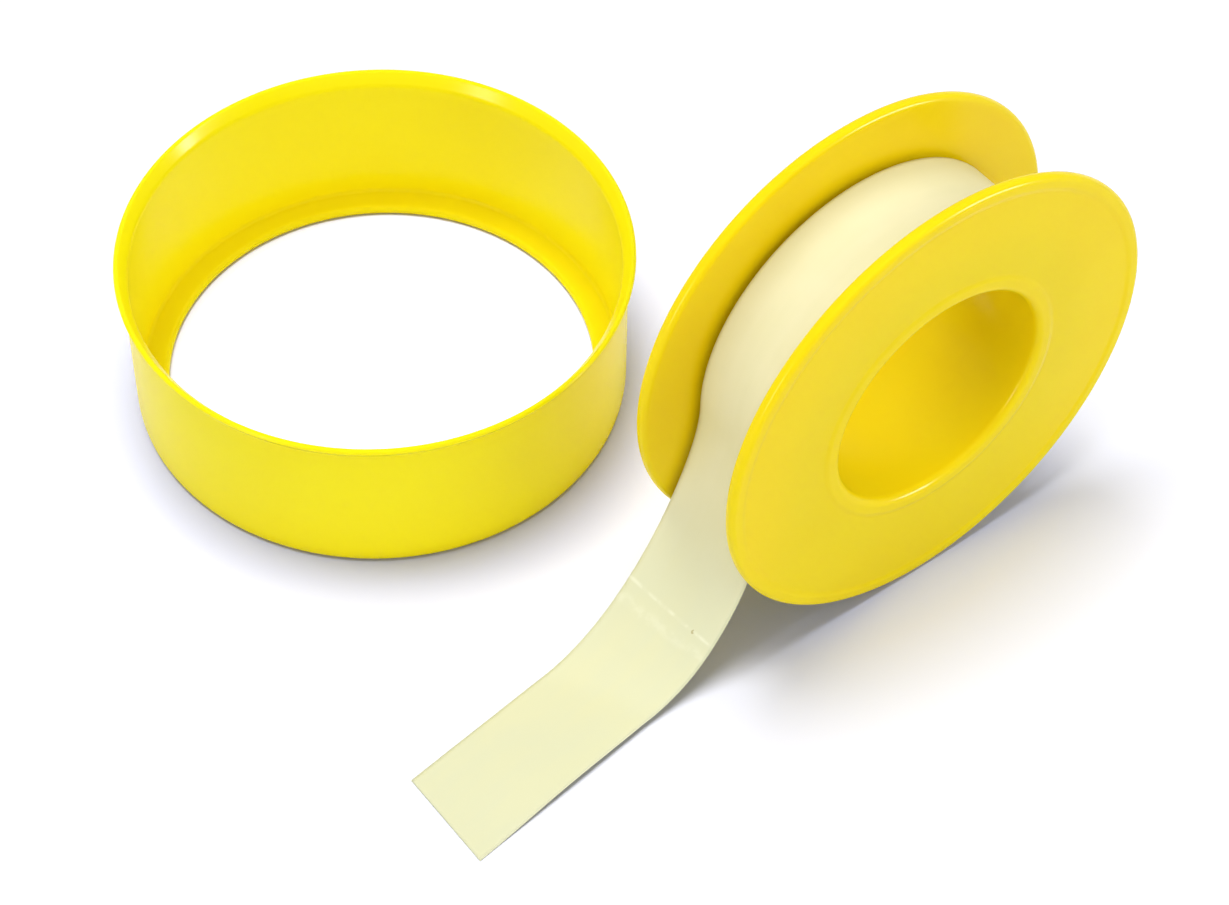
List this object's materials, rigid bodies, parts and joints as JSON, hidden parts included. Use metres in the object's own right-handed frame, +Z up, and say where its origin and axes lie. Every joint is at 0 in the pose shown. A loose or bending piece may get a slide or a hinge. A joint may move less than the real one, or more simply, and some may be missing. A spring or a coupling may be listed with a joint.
{
  "type": "thread seal tape roll",
  "caption": "Flanged yellow spool of thread seal tape standing on its rims with the free end drawn out over the table, and its slip-on cover ring lying beside it.",
  "frame": {"origin": "middle of the footprint of the spool, the drawn-out tape and the cover ring, on the surface they stand on", "axes": "+Z up, the spool's axis along Y but leaning back 1.5 degrees, the front flange facing -Y, the free end of the tape running towards -X"},
  "size_m": [0.087, 0.0876, 0.0541],
  "materials": {
    "yellow_moulding": "satin injection moulding",
    "yellow_cover": "satin injection moulding",
    "cream_film": "smooth waxy film"
  },
  "bodies": {
    "tape": {"tape_tail": "cream_film"},
    "spool": {"spool": "yellow_moulding", "wound_tape": "cream_film"},
    "cover": {"cover_ring": "yellow_cover"}
  },
  "joints": [
    {"name": "spool_spin", "type": "hinge", "parent": "tape", "child": "spool", "pos_m": [0.01642, -0.03306, 0.02684], "axis": [0, 0.9996, -0.0268], "continuous": true},
    {"name": "cover_lift", "type": "slide", "parent": "tape", "child": "cover", "axis": [0, 0, 1], "range_m": [0, 0.03]}
  ]
}
